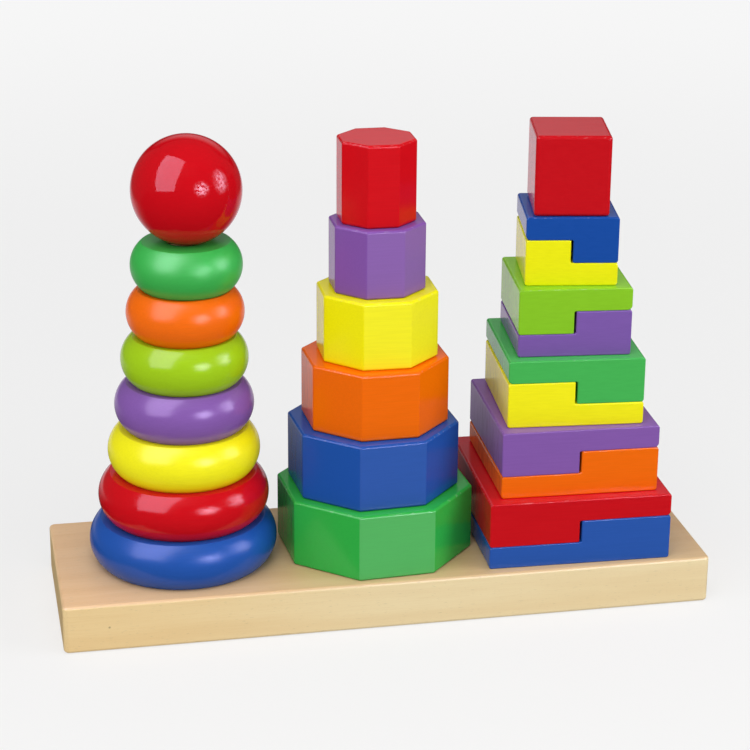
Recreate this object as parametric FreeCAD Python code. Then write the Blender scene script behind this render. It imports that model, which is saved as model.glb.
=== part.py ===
import FreeCAD, Part
import math
import os

# A wooden three-peg stacking toy.  Three glued pegs stand on a board.  The left peg holds seven
# rings and a ball, the middle peg six octagonal blocks, the right peg five square levels, each of
# two interlocking stepped halves, and a cube.  Every block is drilled and lifts off its peg.
#
# Frame: millimetres, +Z up, +X along the board, -Y is the front.  The origin is the centre of the
# board's underside.  The pieces stand as a hand leaves them: a little twisted about their pegs,
# and shifted a little within the clearance of their bores.

Vector = FreeCAD.Vector
UP = Vector(0, 0, 1)

# Board.
BOARD_LENGTH = 300.0
BOARD_WIDTH = 94.0
BOARD_THICKNESS = 22.5
BOARD_CORNER_RADIUS = 2.5
BOARD_EDGE_RADIUS = 1.5

# Pegs, glued into blind holes of the board.
PEG_SPACING = 88.5
PEG_DIAMETER = 10.0
PEG_STANDING_HEIGHT = 175.0
PEG_SEAT_DEPTH = 16.0
PEG_GLUE_GAP = 0.05
PEG_TIP_RADIUS = 4.5
PEG_FOOT_CHAMFER = 1.0

# Bores, which slide over the pegs.
BORE_DIAMETER = 16.0
BORE_MOUTH_CHAMFER = 0.8
BLIND_BORE_SPARE_DEPTH = 2.0
DRILL_POINT_ANGLE = 118.0

# Left tower: rings with a rim that bulges between two shoulders, and a ball with a small flat seat.
# Each ring is (diameter, shift along X).
RING_THICKNESS = 21.75
RING_RIM_REACH = 5.3
RING_SHOULDER_EASE = 0.5
RING_BORE_ROUNDING = 1.2
RINGS = {
    "blue_ring": (86.4, -2.0),
    "red_ring": (78.2, -1.4),
    "yellow_ring": (69.5, -0.8),
    "purple_ring": (63.3, -0.2),
    "lime_ring": (57.8, 0.4),
    "orange_ring": (53.2, 1.2),
    "green_ring": (50.2, 2.2),
}
BALL_DIAMETER = 49.4
BALL_SEAT_RADIUS = 8.5
BALL_SHIFT = 2.9

# Middle tower: octagonal blocks as (size across flats, twist in degrees, shift along X).
OCTAGON_HEIGHT = 31.6
OCTAGON_CAP_HEIGHT = 37.8
OCTAGON_EDGE_RADIUS = 1.3
OCTAGONS = {
    "green_octagon": (85.0, 3.5, -0.6),
    "blue_octagon": (74.0, 3.5, -1.4),
    "orange_octagon": (63.5, 2.0, -0.7),
    "yellow_octagon": (52.5, -1.0, 0.2),
    "purple_octagon": (41.5, -0.5, 0.0),
    "red_octagon_cap": (33.9, -0.4, -0.5),
}

# Right tower: square levels of two stepped halves, as (lower half, upper half, width, twist in
# degrees, shift along X, side on which the lower half is thick).  A half is one third of the
# level's height on one side and two thirds on the other.
LEVEL_HEIGHT = 32.0
STEP_GAP = 1.0
STEP_EDGE_RADIUS = 0.6
STEP_SHOULDER_RADIUS = 0.7
STEP_CORNER_RADIUS = 1.3
STEP_LIP_RADIUS = 2.2
LEFT = -1
RIGHT = 1
STEPPED_LEVELS = [
    ("blue_lower_step_1", "red_upper_step_1", 85.5, -1.5, 0.7, RIGHT),
    ("orange_lower_step_2", "purple_upper_step_2", 73.5, -2.0, 1.3, RIGHT),
    ("yellow_lower_step_3", "green_upper_step_3", 63.0, -4.5, 0.8, LEFT),
    ("purple_lower_step_4", "lime_upper_step_4", 52.0, -5.5, 0.6, RIGHT),
    ("yellow_lower_step_5", "blue_upper_step_5", 42.0, -9.0, 0.1, LEFT),
]
CUBE_WIDTH = 34.0
CUBE_DEPTH = 38.0
CUBE_HEIGHT = 36.9
CUBE_TWIST = -10.2
CUBE_SHIFT = -0.2
CUBE_SHIFT_BACK = -0.6
CUBE_EDGE_RADIUS = 1.6

# Derived values.
BORE_RADIUS = BORE_DIAMETER / 2
PEG_RADIUS = PEG_DIAMETER / 2
PEG_FOOT_Z = BOARD_THICKNESS - PEG_SEAT_DEPTH
PEG_TOP_Z = BOARD_THICKNESS + PEG_STANDING_HEIGHT
BALL_Z = BOARD_THICKNESS + len(RINGS) * RING_THICKNESS
OCTAGON_CAP_Z = BOARD_THICKNESS + (len(OCTAGONS) - 1) * OCTAGON_HEIGHT
CUBE_Z = BOARD_THICKNESS + len(STEPPED_LEVELS) * LEVEL_HEIGHT


def prism(corners, height):
    """A straight prism over a closed polygon of (x, y) corners, from z = 0 up."""
    points = [Vector(x, y, 0) for x, y in corners]
    return Part.Face(Part.makePolygon(points + points[:1])).extrude(UP * height)


def edges_along(shape, direction):
    """The shape's straight edges that run along a direction."""
    return [e for e in shape.Edges
            if isinstance(e.Curve, Part.Line) and e.tangentAt(e.FirstParameter).cross(direction).Length < 1e-6]


def through_bore(height, mouth_heights):
    """Cutter for a bore right through a block, with a chamfer at each listed mouth."""
    cutter = Part.makeCylinder(BORE_RADIUS, height + 2, Vector(0, 0, -1))
    wide = BORE_RADIUS + BORE_MOUTH_CHAMFER
    for z in mouth_heights:
        if z == 0:
            cone = Part.makeCone(wide, BORE_RADIUS, BORE_MOUTH_CHAMFER)
        else:
            cone = Part.makeCone(BORE_RADIUS, wide, BORE_MOUTH_CHAMFER, Vector(0, 0, z - BORE_MOUTH_CHAMFER))
        cutter = cutter.fuse(cone)
    return cutter


def blind_bore(depth, mouth_chamfer):
    """Cutter for a drilled bore that opens downwards at z = 0 and ends in a drill point."""
    point_height = BORE_RADIUS / math.tan(math.radians(DRILL_POINT_ANGLE / 2))
    cutter = Part.makeCylinder(BORE_RADIUS, depth + 1, Vector(0, 0, -1))
    cutter = cutter.fuse(Part.makeCone(BORE_RADIUS, 0, point_height, Vector(0, 0, depth)))
    if mouth_chamfer > 0:
        cutter = cutter.fuse(Part.makeCone(BORE_RADIUS + mouth_chamfer, BORE_RADIUS, mouth_chamfer))
    return cutter


def rounded_outline(corners):
    """A closed wire in the XZ plane through (x, z, radius) corners, each rounded by an arc."""
    arcs = []
    for index, (x, z, radius) in enumerate(corners):
        corner = Vector(x, 0, z)
        before = Vector(corners[index - 1][0], 0, corners[index - 1][1]) - corner
        following = corners[(index + 1) % len(corners)]
        after = Vector(following[0], 0, following[1]) - corner
        before.normalize()
        after.normalize()
        start = corner + before * radius
        end = corner + after * radius
        middle = corner + (before + after) * radius * (1 - math.sqrt(0.5))
        arcs.append((start, middle, end))
    edges = []
    for index, (start, middle, end) in enumerate(arcs):
        edges.append(Part.makeLine(arcs[index - 1][2], start))
        edges.append(Part.Arc(start, middle, end).toShape())
    return Part.Wire(edges)


def board():
    """The board: a plank with rounded corners and edges, and three blind holes for the pegs."""
    corner = Vector(-BOARD_LENGTH / 2, -BOARD_WIDTH / 2, 0)
    plank = Part.makeBox(BOARD_LENGTH, BOARD_WIDTH, BOARD_THICKNESS, corner)
    plank = plank.makeFillet(BOARD_CORNER_RADIUS, edges_along(plank, UP))
    rim = [e for f in plank.Faces if abs(f.normalAt(0, 0).z) > 0.99 for e in f.Edges]
    plank = plank.makeFillet(BOARD_EDGE_RADIUS, rim)
    for x in (-PEG_SPACING, 0, PEG_SPACING):
        hole = Part.makeCylinder(PEG_RADIUS + PEG_GLUE_GAP, PEG_SEAT_DEPTH + 1, Vector(x, 0, PEG_FOOT_Z))
        plank = plank.cut(hole)
    return plank


def peg():
    """A turned peg from its chamfered foot in the board up to its rounded tip."""
    length = PEG_TOP_Z - PEG_FOOT_Z
    rod = Part.makeCylinder(PEG_RADIUS, length, Vector(0, 0, PEG_FOOT_Z))
    tip = [e for e in rod.Edges if e.Closed and e.CenterOfMass.z > PEG_TOP_Z - 1]
    rod = rod.makeFillet(PEG_TIP_RADIUS, tip)
    foot = [e for e in rod.Edges if e.Closed and e.CenterOfMass.z < PEG_FOOT_Z + 1]
    return rod.makeChamfer(PEG_FOOT_CHAMFER, foot)


def ring(diameter):
    """A turned ring: flat above and below, a bulging rim with eased shoulders, a rounded bore."""
    shoulder = diameter / 2 - RING_RIM_REACH
    rounding = RING_BORE_ROUNDING
    inset = rounding * (1 - math.sqrt(0.5))
    crown = Vector(shoulder, 0, RING_THICKNESS)
    base = Vector(shoulder, 0, 0)
    lower_flat = Vector(BORE_RADIUS + rounding, 0, 0)
    lower_wall = Vector(BORE_RADIUS, 0, rounding)
    lower_arc = Vector(BORE_RADIUS + inset, 0, inset)
    upper_flat = Vector(BORE_RADIUS + rounding, 0, RING_THICKNESS)
    upper_wall = Vector(BORE_RADIUS, 0, RING_THICKNESS - rounding)
    upper_arc = Vector(BORE_RADIUS + inset, 0, RING_THICKNESS - inset)
    profile = Part.Wire([
        Part.makeLine(lower_flat, base),
        Part.Arc(base, Vector(diameter / 2, 0, RING_THICKNESS / 2), crown).toShape(),
        Part.makeLine(crown, upper_flat),
        Part.Arc(upper_flat, upper_arc, upper_wall).toShape(),
        Part.makeLine(upper_wall, lower_wall),
        Part.Arc(lower_wall, lower_arc, lower_flat).toShape(),
    ])
    turned = Part.Face(profile).revolve(Vector(0, 0, 0), UP, 360)
    shoulders = [e for e in turned.Edges if e.Closed and abs(e.BoundBox.XMax - shoulder) < 0.01]
    return turned.makeFillet(RING_SHOULDER_EASE, shoulders)


def ball():
    """The ball, cut flat where it rests on the top ring, with a blind bore from below."""
    radius = BALL_DIAMETER / 2
    seat_drop = math.sqrt(radius ** 2 - BALL_SEAT_RADIUS ** 2)
    sphere = Part.makeSphere(radius, Vector(0, 0, seat_drop))
    below = Part.makeBox(BALL_DIAMETER, BALL_DIAMETER, radius, Vector(-radius, -radius, -radius))
    depth = PEG_TOP_Z - BALL_Z + BLIND_BORE_SPARE_DEPTH
    return sphere.cut(below).cut(blind_bore(depth, 0))


def octagon(across_flats, height):
    """An octagonal prism with two flats facing front and back and all its edges eased."""
    circumradius = across_flats / 2 / math.cos(math.pi / 8)
    angles = [math.pi / 8 + side * math.pi / 4 for side in range(8)]
    block = prism([(circumradius * math.cos(a), circumradius * math.sin(a)) for a in angles], height)
    return block.makeFillet(OCTAGON_EDGE_RADIUS, block.Edges)


def octagon_block(across_flats):
    """An octagonal block with a bore right through."""
    block = octagon(across_flats, OCTAGON_HEIGHT)
    return block.cut(through_bore(OCTAGON_HEIGHT, (0, OCTAGON_HEIGHT)))


def octagon_cap(across_flats):
    """The top octagonal block, whose bore stops short of its upper face."""
    depth = PEG_TOP_Z - OCTAGON_CAP_Z + BLIND_BORE_SPARE_DEPTH
    return octagon(across_flats, OCTAGON_CAP_HEIGHT).cut(blind_bore(depth, BORE_MOUTH_CHAMFER))


def stepped_half(width, thick_side, lip_radius):
    """A half that lies flat: two thirds of the level thick on one side, one third on the other."""
    thin = LEVEL_HEIGHT / 3
    thick = 2 * thin
    near = thick_side * STEP_GAP / 2
    thick_end = thick_side * width / 2
    thin_end = -thick_end
    outline = rounded_outline([
        (thin_end, 0, STEP_CORNER_RADIUS),
        (thick_end, 0, STEP_CORNER_RADIUS),
        (thick_end, thick, STEP_CORNER_RADIUS),
        (near, thick, STEP_SHOULDER_RADIUS),
        (near, thin, STEP_SHOULDER_RADIUS),
        (thin_end, thin, lip_radius),
    ])
    block = Part.Face(outline).extrude(Vector(0, width, 0))
    block.translate(Vector(0, -width / 2, 0))
    ends = [f for f in block.Faces if abs(f.normalAt(0, 0).y) > 0.99]
    block = block.makeFillet(STEP_EDGE_RADIUS, [e for f in ends for e in f.Edges])
    return block.cut(through_bore(LEVEL_HEIGHT, (0, thick)))


def lower_half(width, thick_side):
    """The lower half of a level, standing on its flat face."""
    return stepped_half(width, thick_side, STEP_CORNER_RADIUS)


def upper_half(width, thick_side):
    """The upper half of a level: a stepped half turned over, at its height in the level."""
    half = stepped_half(width, thick_side, STEP_LIP_RADIUS)
    half.rotate(Vector(0, 0, 0), Vector(0, 1, 0), 180)
    half.translate(UP * LEVEL_HEIGHT)
    return half


def cube():
    """The nearly cubic top block of the right tower, with eased edges and a blind bore."""
    block = Part.makeBox(CUBE_WIDTH, CUBE_DEPTH, CUBE_HEIGHT, Vector(-CUBE_WIDTH / 2, -CUBE_DEPTH / 2, 0))
    block = block.makeFillet(CUBE_EDGE_RADIUS, block.Edges)
    depth = PEG_TOP_Z - CUBE_Z + BLIND_BORE_SPARE_DEPTH
    return block.cut(blind_bore(depth, BORE_MOUTH_CHAMFER))


def stand(shape, peg_x, z, twist=0.0, shift=0.0, shift_back=0.0):
    """Turn a piece about its own axis, then stand it on a peg with its origin at height z."""
    placed = shape.copy()
    placed.rotate(Vector(0, 0, 0), UP, twist)
    placed.translate(Vector(peg_x + shift, shift_back, z))
    return placed


def base_pieces():
    """The board and its three pegs."""
    return {
        "base_board": board(),
        "left_peg": stand(peg(), -PEG_SPACING, 0),
        "middle_peg": stand(peg(), 0, 0),
        "right_peg": stand(peg(), PEG_SPACING, 0),
    }


def ring_tower():
    """Seven rings and the ball, which lean a little towards the middle tower."""
    pieces = {}
    for level, (name, (diameter, shift)) in enumerate(RINGS.items()):
        z = BOARD_THICKNESS + level * RING_THICKNESS
        pieces[name] = stand(ring(diameter), -PEG_SPACING, z, shift=shift)
    pieces["red_ball"] = stand(ball(), -PEG_SPACING, BALL_Z, shift=BALL_SHIFT)
    return pieces


def octagon_tower():
    """Six octagonal blocks; only the top one is closed above."""
    pieces = {}
    for level, (name, (across_flats, twist, shift)) in enumerate(OCTAGONS.items()):
        z = BOARD_THICKNESS + level * OCTAGON_HEIGHT
        is_cap = level == len(OCTAGONS) - 1
        block = octagon_cap(across_flats) if is_cap else octagon_block(across_flats)
        pieces[name] = stand(block, 0, z, twist, shift)
    return pieces


def stepped_tower():
    """Five levels of interlocking halves and the cube."""
    pieces = {}
    for level, (lower, upper, width, twist, shift, thick_side) in enumerate(STEPPED_LEVELS):
        z = BOARD_THICKNESS + level * LEVEL_HEIGHT
        pieces[lower] = stand(lower_half(width, thick_side), PEG_SPACING, z, twist, shift)
        pieces[upper] = stand(upper_half(width, thick_side), PEG_SPACING, z, twist, shift)
    pieces["red_cube"] = stand(cube(), PEG_SPACING, CUBE_Z, CUBE_TWIST, CUBE_SHIFT, CUBE_SHIFT_BACK)
    return pieces


os.makedirs("parts", exist_ok=True)
for part_of_toy in (base_pieces(), ring_tower(), octagon_tower(), stepped_tower()):
    for node, solid in part_of_toy.items():
        solid.exportStep("parts/" + node + ".step")
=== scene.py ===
import math

import bpy
from mathutils import Matrix, Vector


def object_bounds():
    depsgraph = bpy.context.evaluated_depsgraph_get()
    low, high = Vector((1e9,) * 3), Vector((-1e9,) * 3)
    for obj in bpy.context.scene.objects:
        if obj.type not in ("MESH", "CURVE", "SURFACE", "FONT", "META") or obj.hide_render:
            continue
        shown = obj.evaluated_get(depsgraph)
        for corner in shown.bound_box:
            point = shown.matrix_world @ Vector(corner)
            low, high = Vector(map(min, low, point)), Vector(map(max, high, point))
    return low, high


# A wooden three-peg stacking toy: clear-lacquered board and pegs, glossy painted blocks.
# Every CAD node keeps its own shape here and gets a procedural material of its own.
# Units are metres.  The object's frame is +Z up, +X along the board, -Y the front.

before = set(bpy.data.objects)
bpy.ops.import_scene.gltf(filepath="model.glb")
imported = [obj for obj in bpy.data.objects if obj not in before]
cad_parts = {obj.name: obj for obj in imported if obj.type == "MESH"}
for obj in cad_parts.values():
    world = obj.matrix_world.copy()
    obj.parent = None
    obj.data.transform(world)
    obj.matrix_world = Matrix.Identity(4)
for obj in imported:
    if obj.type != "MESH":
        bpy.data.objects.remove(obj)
cad_low, cad_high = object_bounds()

X, Y, Z = 0, 1, 2
WHITE = (1.0, 1.0, 1.0)
# Bump heights are given in millimetres.
BUMP_UNIT = 0.001
# All noise falls off alike with each finer octave.  Seeds move it along X, Y and Z by these steps.
NOISE_ROUGHNESS = 0.55
SEED_STEPS = (1.37, 2.11, 3.73)


def direction(azimuth, elevation):
    """Unit vector from the object, azimuth 0 towards -Y and 90 towards +X."""
    turn = math.radians(azimuth)
    rise = math.radians(elevation)
    return Vector((math.sin(turn) * math.cos(rise), -math.cos(turn) * math.cos(rise), math.sin(rise)))


class Shader:
    """One material's node tree, built from short calls."""

    def __init__(self, name):
        self.material = bpy.data.materials.new(name)
        self.material.use_nodes = True
        self.tree = self.material.node_tree
        self.tree.nodes.clear()

    def add(self, kind, values=None, **settings):
        """Adds a node.  Settings are its attributes, values its inputs: numbers or sockets."""
        made = self.tree.nodes.new("ShaderNode" + kind)
        for key, value in settings.items():
            setattr(made, key, value)
        for key, value in (values or {}).items():
            if isinstance(value, bpy.types.NodeSocket):
                self.tree.links.new(value, made.inputs[key])
            else:
                made.inputs[key].default_value = value
        return made

    def place(self):
        """Where a point of the surface is, in the object's own coordinates."""
        return self.add("TexCoord").outputs["Object"]

    def normal(self):
        """The direction that the surface faces."""
        return self.add("NewGeometry").outputs["Normal"]

    def part(self, vector, axis):
        """One part of a vector, along X, Y or Z."""
        return self.add("SeparateXYZ", {0: vector}).outputs[axis]

    def math(self, operation, first, second=0.0, third=0.0):
        """The result of one arithmetic node."""
        return self.add("Math", {0: first, 1: second, 2: third}, operation=operation).outputs[0]

    def measure(self, operation, first, second=(0.0, 0.0, 0.0)):
        """The number that a vector node gives, such as a length or a dot product."""
        return self.add("VectorMath", {0: first, 1: second}, operation=operation).outputs["Value"]

    def ramp(self, value, low, high, to_low=0.0, to_high=1.0):
        """A value mapped smoothly and clamped from low..high to to_low..to_high."""
        numbers = {"Value": value, "From Min": low, "From Max": high, "To Min": to_low, "To Max": to_high}
        return self.add("MapRange", numbers, interpolation_type="SMOOTHSTEP").outputs[0]

    def choose(self, share, first, second):
        """Two numbers mixed by a share."""
        return self.add("Mix", {0: share, 2: first, 3: second}, data_type="FLOAT").outputs[0]

    def mix(self, share, first, second, blend="MIX"):
        """Two colours mixed by a share."""
        made = self.add("Mix", {"Factor": share}, data_type="RGBA", blend_type=blend)
        for socket, colour in ((made.inputs[6], first), (made.inputs[7], second)):
            if isinstance(colour, bpy.types.NodeSocket):
                self.tree.links.new(colour, socket)
            else:
                socket.default_value = (*colour, 1.0)
        return made.outputs[2]

    def noise(self, coordinates, sizes, seed, detail=3.0):
        """Noise whose features have the given sizes along X, Y and Z, in the coordinates' unit."""
        scale = [1.0 / size for size in sizes]
        shift = [seed * step for step in SEED_STEPS]
        moved = self.add("Mapping", {"Vector": coordinates, "Scale": scale, "Location": shift}).outputs[0]
        numbers = {"Vector": moved, "Scale": 1.0, "Detail": detail, "Roughness": NOISE_ROUGHNESS}
        return self.add("TexNoise", numbers, noise_dimensions="3D").outputs["Fac"]

    def bump(self, height):
        """The surface's normal, bent by a height in millimetres."""
        values = {"Height": height, "Distance": BUMP_UNIT, "Strength": 1.0}
        return self.add("Bump", values).outputs["Normal"]

    def glow(self, colour, strength):
        """An emission of a linear RGB colour."""
        return self.add("Emission", {"Color": (*colour, 1.0), "Strength": strength}).outputs[0]

    def finish(self, surface):
        """Connects the surface and returns the material."""
        output = self.tree.nodes.new("ShaderNodeOutputMaterial")
        self.tree.links.new(surface, output.inputs["Surface"])
        return self.material


class WorldShader(Shader):
    """The world's node tree, built the same way as a material's."""

    def __init__(self, name):
        self.world = bpy.data.worlds.new(name)
        self.world.use_nodes = True
        self.tree = self.world.node_tree
        self.tree.nodes.clear()

    def finish(self, surface):
        """Connects the surface and gives the world to the scene."""
        output = self.tree.nodes.new("ShaderNodeOutputWorld")
        self.tree.links.new(surface, output.inputs["Surface"])
        bpy.context.scene.world = self.world


# Painted blocks.  Paint colours are linear RGB.
PAINTS = {
    "red": (0.55, 0.004, 0.009),
    "blue": (0.012, 0.080, 0.38),
    "yellow": (0.87, 0.81, 0.008),
    "purple": (0.215, 0.095, 0.37),
    "lime": (0.34, 0.58, 0.010),
    "green": (0.028, 0.41, 0.058),
    "orange": (0.84, 0.138, 0.001),
}
# Blocks given their own lighter or darker copy of their paint colour. The paler green of green_upper_step_3
# is a painted reflection, spread over the whole block.
SPECIAL_PAINTS = {
    "red_ball": (0.52, 0.004, 0.009),
    "lime_ring": (0.325, 0.55, 0.010),
    "purple_octagon": (0.215, 0.085, 0.370),
    "yellow_octagon": (0.87, 0.81, 0.003),
    "red_octagon_cap": (0.60, 0.004, 0.009),
    # Paler than the usual green: a painted reflection on this block's front.
    "green_upper_step_3": (0.058, 0.430, 0.085),
    "purple_lower_step_4": (0.190, 0.094, 0.370),
    "lime_upper_step_4": (0.230, 0.53, 0.018),
    "yellow_lower_step_5": (0.81, 0.78, 0.004),
    "blue_upper_step_5": (0.008, 0.066, 0.335),
    "red_cube": (0.52, 0.004, 0.009),
}
# Facets made paler by a painted reflection, a sheen mixed into the colour: how much, from 0 to 1, and the
# azimuth that they face around.
FACET_SHEEN = {
    "green_octagon": (0.065, 0),
    "blue_octagon": (0.018, 0),
    "blue_lower_step_1": (0.010, 0),
    "purple_octagon": (0.035, 21),
    "yellow_octagon": (0.016, 21),
}
# Roughness and specular level of the paint.  The rings differ most: some are crisp, some milky.
USUAL_FINISH = (0.17, 0.22)
PAINT_FINISHES = {
    "red_ball": (0.075, 0.22),
    "red_ring": (0.14, 0.22),
    "blue_ring": (0.27, 0.26),
    "green_ring": (0.38, 0.50),
    "orange_ring": (0.25, 0.21),
    "purple_ring": (0.21, 0.27),
    "yellow_ring": (0.24, 0.22),
}

# Sizes of the paint's patterns along X, Y and Z.  The grain below the paint runs along X.
GRAIN_SIZES = (0.022, 0.0007, 0.0007)
END_GRAIN_SIZES = (0.010, 0.0012, 0.012)
CLOUD_SIZES = (0.030, 0.012, 0.012)
PEEL_SIZES = (0.0013, 0.0013, 0.0013)
NICK_SIZES = (0.0040, 0.0012, 0.0012)
# The values of the noise between which a pattern goes from none to full.
GRAIN_RANGE = (0.3, 0.7)
STREAK_RANGE = (0.50, 0.62)
NICK_RANGE = (0.56, 0.66)
# How strongly the patterns change the colour, and the grain the roughness.
GRAIN_CONTRAST = 0.025
STREAK_DARKNESS = 0.30
STREAK_SHADE = 0.3
# The pale rim nicks are worn paint, and partly a painted highlight along the upper rims.
NICK_AND_HIGHLIGHT_PALENESS = 0.35
NICK_AND_HIGHLIGHT_SHADE = 0.6
NICK_AND_HIGHLIGHT_WHITE = 0.25
SMOOTHEST = 0.9
ROUGHEST = 1.15
# The cosines between which a surface comes to face a direction: along X, or the azimuth of the painted
# sheen.
END_FACE = (0.80, 0.95)
SHEEN_FACE = (0.80, 0.88)
# An upper rim faces partly upwards: its cosine is past the first pair, and short of the second.
RIM_BEGINS = (0.15, 0.45)
RIM_ENDS = (0.99, 0.80)
# Heights of the paint's unevenness, in millimetres.
GRAIN_HEIGHT = 0.004
PEEL_HEIGHT = 0.007
TURNED_PEEL_HEIGHT = 0.010
CLOUD_HEIGHT = 0.08
END_GRAIN_HEIGHT = 0.05


def with_painted_sheen(shader, tint, amount, azimuth):
    """A tint with a painted reflection: paler on the facets that face around an azimuth."""
    turned = shader.measure("DOT_PRODUCT", shader.normal(), direction(azimuth, 0))
    return shader.mix(shader.ramp(turned, *SHEEN_FACE, 0.0, amount), tint, WHITE)


def streaked(shader, tint, colour, at_end, end_grain):
    """A tint with dark streaks of end grain on the end faces."""
    streak = shader.math("MULTIPLY", at_end, shader.ramp(end_grain, *STREAK_RANGE, 0.0, STREAK_DARKNESS))
    return shader.mix(streak, tint, [STREAK_SHADE * c for c in colour])


def nicked_and_highlit(shader, tint, colour, place, seed):
    """A tint with pale nicks along the upper rims, where the surface is turned partly upwards. The pale
    marks are worn paint, and partly a painted highlight on those rims.
    """
    up = shader.part(shader.normal(), Z)
    rim = shader.math("MULTIPLY", shader.ramp(up, *RIM_BEGINS), shader.ramp(up, *RIM_ENDS))
    nicks_and_glints = shader.ramp(shader.noise(place, NICK_SIZES, seed), *NICK_RANGE)
    share = shader.math("MULTIPLY", shader.math("MULTIPLY", rim, nicks_and_glints), NICK_AND_HIGHLIGHT_PALENESS)
    return shader.mix(share, tint, [NICK_AND_HIGHLIGHT_SHADE * c + NICK_AND_HIGHLIGHT_WHITE for c in colour])


def painted_wood(name, colour, finish, sheen, has_edges, seed):
    """Gloss paint over wood: faint grain along X, coarser end grain, slight unevenness, nicked rims that
    carry a painted highlight, and a painted sheen on some facets.
    """
    roughness, specular = finish
    shader = Shader(name)
    place = shader.place()
    grain = shader.noise(place, GRAIN_SIZES, seed)
    end_grain = shader.noise(place, END_GRAIN_SIZES, seed + 17.0)
    cloud = shader.noise(place, CLOUD_SIZES, seed + 5.0, detail=2.0)
    peel = shader.noise(place, PEEL_SIZES, seed + 9.0, detail=2.0)
    at_end = shader.ramp(shader.math("ABSOLUTE", shader.part(shader.normal(), X)), *END_FACE)

    light = [min(1.0, (1 + GRAIN_CONTRAST) * c) for c in colour]
    dark = [(1 - GRAIN_CONTRAST) * c for c in colour]
    tint = shader.mix(shader.ramp(grain, *GRAIN_RANGE), dark, light)
    # Painted reflection: the facets that face the sheen's azimuth are mixed towards white.
    if sheen:
        tint = with_painted_sheen(shader, tint, *sheen)
    if has_edges:
        tint = streaked(shader, tint, colour, at_end, end_grain)
        # Pale nicks on the upper rims: worn paint, and partly a painted highlight.
        tint = nicked_and_highlit(shader, tint, colour, place, seed + 13.0)
        roughness = shader.ramp(grain, *GRAIN_RANGE, SMOOTHEST * roughness, ROUGHEST * roughness)
        height = shader.math("MULTIPLY", grain, GRAIN_HEIGHT)
        height = shader.math("MULTIPLY_ADD", peel, PEEL_HEIGHT, height)
    else:
        height = shader.math("MULTIPLY", peel, TURNED_PEEL_HEIGHT)
    height = shader.math("MULTIPLY_ADD", cloud, CLOUD_HEIGHT, height)
    rough_end = shader.math("MULTIPLY", end_grain, at_end)
    height = shader.math("MULTIPLY_ADD", rough_end, END_GRAIN_HEIGHT, height)

    surface = shader.add("BsdfPrincipled", {
        "Base Color": tint,
        "Roughness": roughness,
        "Specular IOR Level": specular,
        "Normal": shader.bump(height),
    })
    return shader.finish(surface.outputs[0])


# Lacquered board and pegs.  Wood colours are linear RGB.
TOP_WOOD = (0.640, 0.452, 0.245)
SIDE_WOOD = (0.835, 0.685, 0.405)
PEG_WOOD = (0.78, 0.58, 0.34)
DEEP_WOOD = (0.90, 0.82, 0.72)
# Lengths of the wood's patterns along the grain and across it.
FIGURE_SIZE = (0.16, 0.011)
FIBRE_SIZE = (0.018, 0.00045)
PORE_SIZE = (0.0032, 0.00032)
# For each pattern, the values of the noise between which it rises, and what it rises from and to.
FIGURE_SHARE = (0.35, 0.70, 0.0, 0.6)
FIBRE_SHARE = (0.45, 0.75, 0.0, 0.35)
PORE_SHARE = (0.66, 0.74, 0.0, 0.40)
LACQUER_ROUGHNESS = (0.3, 0.7, 0.30, 0.42)
LACQUER_SPECULAR = 0.4
# The colour in a pore, as a share of the wood's.
PORE_SHADE = 0.45
# Heights of the wood's unevenness, in millimetres.
FIBRE_HEIGHT = 0.018
PORE_HEIGHT = -0.05
# The cosines between which a surface comes to face upwards, and has the colour of the top.
TOP_FACE = (0.2, 0.8)
# From here to the board's left end the wood is tinted by these: its top paler, which is painted light, and
# its sides yellower.
LEFT_TINT_BEGINS = 0.02
LEFT_TOP_PAINTED_LIGHT = (1.25, 1.19, 1.26)
LEFT_SIDE_TINT = (1.00, 0.90, 0.76)
# A small knot on the board's front.
KNOT_PLACE = (cad_low.x + 0.0205, cad_low.y, cad_low.z + 0.0115)
KNOT_BROWN = (0.10, 0.05, 0.02)
KNOT_RADIUS = 0.0007
KNOT_CORE = 0.4
KNOT_DARKNESS = 0.5


def board_light_and_knot(shader, wood, place, upwards):
    """The board's wood with painted light that makes its top paler towards the left end, its sides yellower
    there, and its knot.
    """
    left_tint = shader.mix(upwards, LEFT_SIDE_TINT, LEFT_TOP_PAINTED_LIGHT)
    left_wood = shader.mix(1.0, wood, left_tint, "MULTIPLY")
    leftness = shader.ramp(shader.part(place, X), LEFT_TINT_BEGINS, cad_low.x)
    wood = shader.mix(leftness, wood, left_wood)
    off_knot = shader.measure("DISTANCE", place, KNOT_PLACE)
    knot = shader.ramp(off_knot, KNOT_RADIUS, KNOT_CORE * KNOT_RADIUS, 0.0, KNOT_DARKNESS)
    return shader.mix(knot, wood, KNOT_BROWN)


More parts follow.
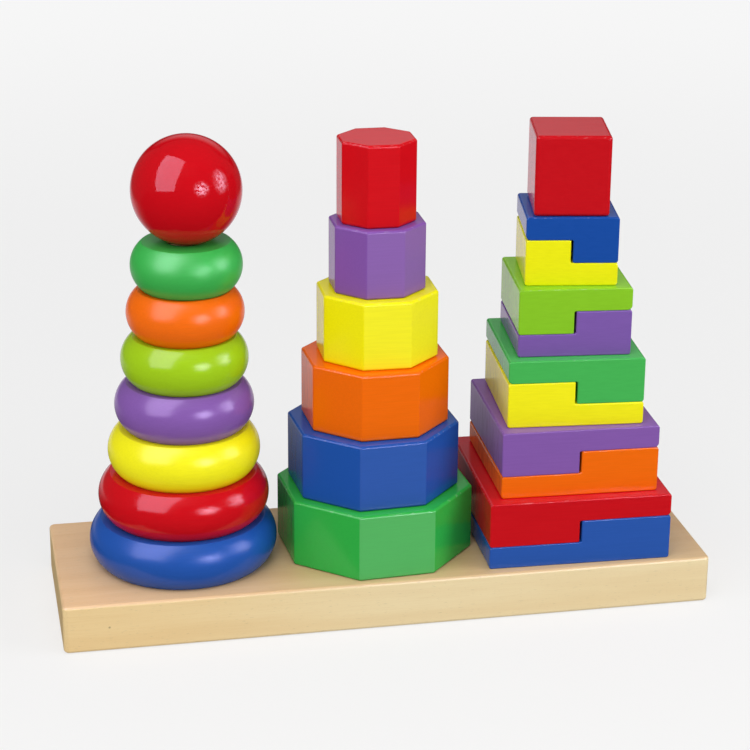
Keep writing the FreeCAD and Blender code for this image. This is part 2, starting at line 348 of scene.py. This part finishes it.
def lacquered_wood(name, top, side, seed, grain_axis, has_light_and_knot=False):
    """Pale close-grained hardwood under satin lacquer, with grain along one axis."""
    shader = Shader(name)
    place = shader.place()

    def pattern(size, own_seed, detail):
        """Noise that is long along the grain's axis and short across it."""
        length, width = size
        sizes = [width, width, width]
        sizes[grain_axis] = length
        return shader.noise(place, sizes, own_seed, detail)

    figure = pattern(FIGURE_SIZE, seed, detail=4.0)
    fibres = pattern(FIBRE_SIZE, seed + 3.0, detail=3.0)
    pores = pattern(PORE_SIZE, seed + 7.0, detail=1.0)
    upwards = shader.ramp(shader.part(shader.normal(), Z), *TOP_FACE)
    wood = shader.mix(upwards, side, top)
    # Painted light on the top of the board's left end, and the board's knot.
    if has_light_and_knot:
        wood = board_light_and_knot(shader, wood, place, upwards)
    deep = shader.mix(1.0, wood, DEEP_WOOD, "MULTIPLY")
    tint = shader.mix(shader.ramp(figure, *FIGURE_SHARE), wood, deep)
    tint = shader.mix(shader.ramp(fibres, *FIBRE_SHARE), tint, deep)
    fleck = shader.ramp(pores, *PORE_SHARE)
    tint = shader.mix(fleck, tint, [PORE_SHADE * c for c in side])
    height = shader.math("MULTIPLY", fibres, FIBRE_HEIGHT)
    height = shader.math("MULTIPLY_ADD", fleck, PORE_HEIGHT, height)
    surface = shader.add("BsdfPrincipled", {
        "Base Color": tint,
        "Roughness": shader.ramp(fibres, *LACQUER_ROUGHNESS),
        "Specular IOR Level": LACQUER_SPECULAR,
        "Normal": shader.bump(height),
    })
    return shader.finish(surface.outputs[0])


def dress(node, material):
    """Gives a CAD node its material."""
    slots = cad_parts[node].data.materials
    slots.clear()
    slots.append(material)


def dress_wood():
    """The board with grain along its length, and the pegs with grain along their height."""
    dress("base_board", lacquered_wood("board_lacquer", TOP_WOOD, SIDE_WOOD, 1.0, X, has_light_and_knot=True))
    for index, side in enumerate(("left", "middle", "right")):
        peg = side + "_peg"
        dress(peg, lacquered_wood(peg + "_lacquer", PEG_WOOD, PEG_WOOD, 20.0 + index, Z))


def dress_blocks():
    """Every other piece is painted in the colour that its name starts with, with its own grain."""
    for index, node in enumerate(sorted(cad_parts)):
        paint = node.split("_")[0]
        if paint not in PAINTS:
            continue
        colour = SPECIAL_PAINTS.get(node, PAINTS[paint])
        finish = PAINT_FINISHES.get(node, USUAL_FINISH)
        has_edges = "ring" not in node and "ball" not in node
        seed = 40.0 + 3.0 * index
        dress(node, painted_wood(node + "_paint", colour, finish, FACET_SHEEN.get(node), has_edges, seed))


# Tints of what the paint mirrors, linear RGB.
SCREEN_TINT = (1.0, 0.94, 1.0)
KEY_TINT = (0.82, 0.72, 0.96)
UMBRELLA_TINT = (0.84, 0.77, 1.0)

# Stage: a pale floor that stays even, like a lit studio sweep.  The camera sees it glow a little
# more with distance, as the toy's shade fades; the toy itself gets only the weaker bounce.
FLOOR_SIZE = 24.0
FLOOR_GAP = 0.0002
FLOOR_ALBEDO = 0.25
FLOOR_GLOW_NEAR = 0.63
FLOOR_GLOW_FAR = 0.79
FLOOR_GLOW_STARTS = 0.1
FLOOR_GLOW_REACH = 1.6
FLOOR_BOUNCE = 0.46
# What the paint mirrors of it: dark near the toy and in front, bright farther behind, and dim aside.
FLOOR_MIRRORED = 0.80
MIRRORED_FROM = 0.07
MIRRORED_TO = 0.40
MIRRORED_WITHIN = 0.28
MIRRORED_ASIDE = 0.66
MIRRORED_REMAINS = 0.12


def pale_floor():
    """A wide plain floor just under the toy, partly lit from within so that shadows stay soft."""
    bpy.ops.mesh.primitive_plane_add(size=FLOOR_SIZE, location=(0, 0, cad_low.z - FLOOR_GAP))
    floor = bpy.context.object
    floor.name = "floor"
    shader = Shader("floor_white")
    place = shader.place()
    ray = shader.add("LightPath").outputs
    away = shader.measure("LENGTH", place)
    shown = shader.ramp(away, FLOOR_GLOW_STARTS, FLOOR_GLOW_REACH, FLOOR_GLOW_NEAR, FLOOR_GLOW_FAR)
    glow = shader.glow(WHITE, shader.choose(ray["Is Camera Ray"], FLOOR_BOUNCE, shown))
    diffuse = shader.add("BsdfDiffuse", {"Color": (FLOOR_ALBEDO, FLOOR_ALBEDO, FLOOR_ALBEDO, 1)})
    lit = shader.add("AddShader", {0: diffuse.outputs[0], 1: glow})
    behind = shader.ramp(shader.part(place, Y), MIRRORED_FROM, MIRRORED_TO, 0.0, FLOOR_MIRRORED)
    aside = shader.math("ABSOLUTE", shader.part(place, X))
    centred = shader.ramp(aside, MIRRORED_ASIDE, MIRRORED_WITHIN, MIRRORED_REMAINS)
    mirrored = shader.glow(SCREEN_TINT, shader.math("MULTIPLY", behind, centred))
    surface = shader.add("MixShader", {0: ray["Is Glossy Ray"], 1: lit.outputs[0], 2: mirrored})
    material = shader.finish(surface.outputs[0])
    material.cycles.emission_sampling = "NONE"
    floor.data.materials.append(material)


# The wall behind the floor, which only views from low down show.
BACKDROP = 0.90
# The room as the paint mirrors it: dark in front, a little paler behind, by the ray's part along Y.
ROOM_FRONT = 0.012
ROOM_BACK = 0.096
ROOM_FRONT_ENDS = -0.60
ROOM_BACK_BEGINS = 0.05
# The room's diffuse light is brightest from one azimuth and elevation, and weakest opposite it: the
# cosines of the angle between a ray and that direction at which it is weakest and brightest.
AMBIENT_FROM = (-8, 52)
AMBIENT_LOW = 0.20
AMBIENT_HIGH = 0.576
AMBIENT_LOW_COSINE = -0.3
AMBIENT_HIGH_COSINE = 0.95


def studio_world():
    """A pale room for diffuse light, brightest high in front; its reflections are dark in front."""
    shader = WorldShader("studio")
    towards = shader.add("TexCoord").outputs["Generated"]
    ray = shader.add("LightPath").outputs
    behind = shader.part(towards, Y)
    mirrored = shader.ramp(behind, ROOM_FRONT_ENDS, ROOM_BACK_BEGINS, ROOM_FRONT, ROOM_BACK)
    cosine = shader.measure("DOT_PRODUCT", towards, direction(*AMBIENT_FROM))
    ambient = shader.ramp(cosine, AMBIENT_LOW_COSINE, AMBIENT_HIGH_COSINE, AMBIENT_LOW, AMBIENT_HIGH)
    unseen = shader.choose(ray["Is Glossy Ray"], ambient, mirrored)
    strength = shader.choose(ray["Is Camera Ray"], unseen, BACKDROP)
    shine = shader.add("Background", {"Color": (*WHITE, 1.0), "Strength": strength})
    shader.finish(shine.outputs[0])


# The mottling of an umbrella's fabric: sizes across the panel, as shares of its sides, and the
# values of the noise between which it goes from dark to bright.
FOLD_SIZES = (0.13, 0.13, 1.0)
FOLD_RANGE = (0.36, 0.62)
FOLD_SEED = 11.0
# A panel is made one metre wide and then scaled: this is its edge's distance from its centre.
PANEL_EDGE = 0.5


def facing_toy(away, distance, roll=0.0):
    """The place of a panel that faces the middle of the toy: its own X and Y span the panel."""
    sideways = away.cross(Vector((0, 0, 1))).normalized()
    upwards = sideways.cross(away)
    turn = math.radians(roll)
    across = sideways * math.cos(turn) + upwards * math.sin(turn)
    axes = Matrix((across, away.cross(across), away)).transposed()
    centre = (cad_low + cad_high) / 2
    return Matrix.Translation(centre + away * distance) @ axes.to_4x4()


def soft_box(name, azimuth, elevation, distance, width, height, radiance):
    """A rectangular soft light, which the paint doesn't mirror."""
    lamp = bpy.data.lights.new(name, "AREA")
    lamp.shape = "RECTANGLE"
    lamp.size = width
    lamp.size_y = height
    lamp.energy = radiance * math.pi * width * height
    light = bpy.data.objects.new(name, lamp)
    light.matrix_world = facing_toy(direction(azimuth, elevation), distance)
    light.visible_glossy = False
    bpy.context.scene.collection.objects.link(light)


def reflector(name, azimuth, elevation, distance, width, height, radiance, tint, roll=0, mottling=0, fade=0):
    """A glowing panel that only reflections show.  Mottling and fade from its edge are 0 to 1."""
    bpy.ops.mesh.primitive_plane_add(size=2 * PANEL_EDGE)
    panel = bpy.context.object
    panel.name = name
    placed = facing_toy(direction(azimuth, elevation), distance, roll)
    panel.matrix_world = placed @ Matrix.Diagonal((width, height, 1.0, 1.0))
    panel.visible_camera = False
    panel.visible_diffuse = False
    panel.visible_shadow = False
    shader = Shader(name + "_glow")
    place = shader.place()
    folds = shader.noise(place, FOLD_SIZES, FOLD_SEED + azimuth, detail=1.0)
    strength = shader.ramp(folds, *FOLD_RANGE, radiance * (1 - mottling), radiance)
    if fade:
        off_centre = shader.measure("LENGTH", place)
        inside = shader.ramp(off_centre, PANEL_EDGE, PANEL_EDGE * (1 - fade))
        strength = shader.math("MULTIPLY", strength, inside)
    panel.data.materials.append(shader.finish(shader.glow(tint, strength)))


def studio_lights():
    """Soft boxes light the toy, and the panels are what the paint mirrors of the studio.

    Azimuth is 0 in front and positive to the right, in degrees as elevation and roll are.
    """
    soft_box("key_left", -52, 45, distance=1.1, width=1.1, height=1.2, radiance=1.5)
    soft_box("fill_front", -6, 58, distance=1.3, width=0.90, height=0.70, radiance=2.15)
    soft_box("strip_right", 64, 26, distance=1.0, width=0.60, height=0.60, radiance=3.6)
    reflector("key_screen", -59.5, 42.5, distance=1.1, width=0.84, height=1.36, radiance=8.2,
              tint=KEY_TINT, roll=-13)
    reflector("bulb_umbrella", 22.5, 17, distance=1.3, width=0.90, height=0.84, radiance=36.0,
              tint=UMBRELLA_TINT, roll=12, mottling=1.0, fade=0.8)
    reflector("side_umbrella", 71, 21, distance=1.0, width=0.76, height=0.90, radiance=20.0,
              tint=UMBRELLA_TINT, roll=20, mottling=0.8, fade=0.8)
    reflector("back_screen", 168, 28, distance=1.2, width=1.70, height=0.80, radiance=0.66,
              tint=SCREEN_TINT, fade=0.8)


# Camera: a long lens from the front left, a little above the toy.
VIEW_AZIMUTH = -11.43
VIEW_ELEVATION = 20.16
VIEW_ROLL = 0.42
VIEW_DISTANCE = 1.0262
VIEW_TARGET = Vector((-0.0005, 0, 0.1057))
FOCAL_LENGTH = 107.06
SENSOR_WIDTH = 36.0
NEAREST_SEEN = 0.05
FARTHEST_SEEN = 50.0


def camera():
    """The camera, aimed at a point on the toy's middle plane."""
    back = direction(VIEW_AZIMUTH, VIEW_ELEVATION)
    level = Vector((0, 0, 1)).cross(back).normalized()
    up = back.cross(level)
    roll = math.radians(VIEW_ROLL)
    right = level * math.cos(roll) + up * math.sin(roll)
    data = bpy.data.cameras.new("camera")
    data.lens = FOCAL_LENGTH
    data.sensor_width = SENSOR_WIDTH
    data.clip_start = NEAREST_SEEN
    data.clip_end = FARTHEST_SEEN
    made = bpy.data.objects.new("camera", data)
    axes = Matrix((right, back.cross(right), back)).transposed()
    made.matrix_world = Matrix.Translation(VIEW_TARGET + back * VIEW_DISTANCE) @ axes.to_4x4()
    bpy.context.scene.collection.objects.link(made)
    bpy.context.scene.camera = made


dress_wood()
dress_blocks()
pale_floor()
studio_world()
studio_lights()
camera()
bpy.context.scene.view_settings.view_transform = "Standard"
